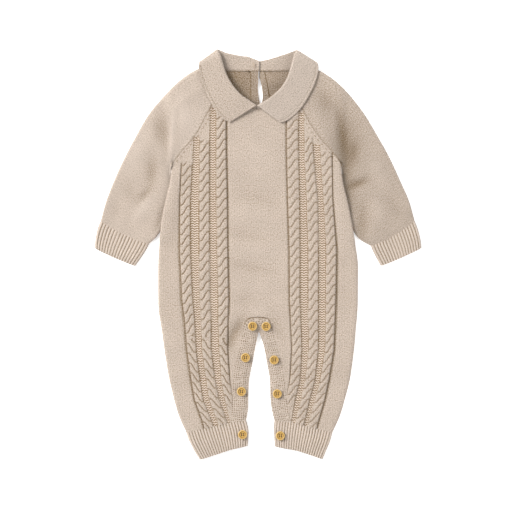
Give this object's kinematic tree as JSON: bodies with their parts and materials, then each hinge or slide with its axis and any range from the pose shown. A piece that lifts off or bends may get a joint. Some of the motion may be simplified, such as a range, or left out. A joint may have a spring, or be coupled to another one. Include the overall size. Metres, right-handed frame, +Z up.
{
  "type": "baby romper",
  "caption": "Knitted long-sleeved baby romper laid flat, with cabled front, fold-over collar, back neck slit, ribbed cuffs and a buttoned inner-leg placket.",
  "frame": {"origin": "middle of the outline, on the surface the garment lies on", "axes": "+Z up out of the laid garment, +Y towards the neck, +X towards the sleeve on the right as seen from above"},
  "size_m": [0.426, 0.5319, 0.0133],
  "materials": {
    "knit": "matt oatmeal cotton knit, stockinette with cables",
    "rib": "matt oatmeal cotton rib knit",
    "button": "pale yellow wood, satin varnish"
  },
  "bodies": {
    "root": {"front_panel": "knit", "back_panel": "knit", "sleeve_left": "knit", "sleeve_right": "knit", "front_placket": "knit", "back_placket": "knit", "collar_left": "knit", "collar_right": "knit", "slit_band_left": "knit", "slit_band_right": "knit", "sleeve_cuff_left": "rib", "sleeve_cuff_right": "rib", "leg_cuff_left": "rib", "leg_cuff_right": "rib", "button_left_1": "button", "button_left_2": "button", "button_left_3": "button", "button_left_4": "button", "button_right_1": "button", "button_right_2": "button", "button_right_3": "button", "button_right_4": "button", "neck_button": "button"}
  },
  "joints": []
}
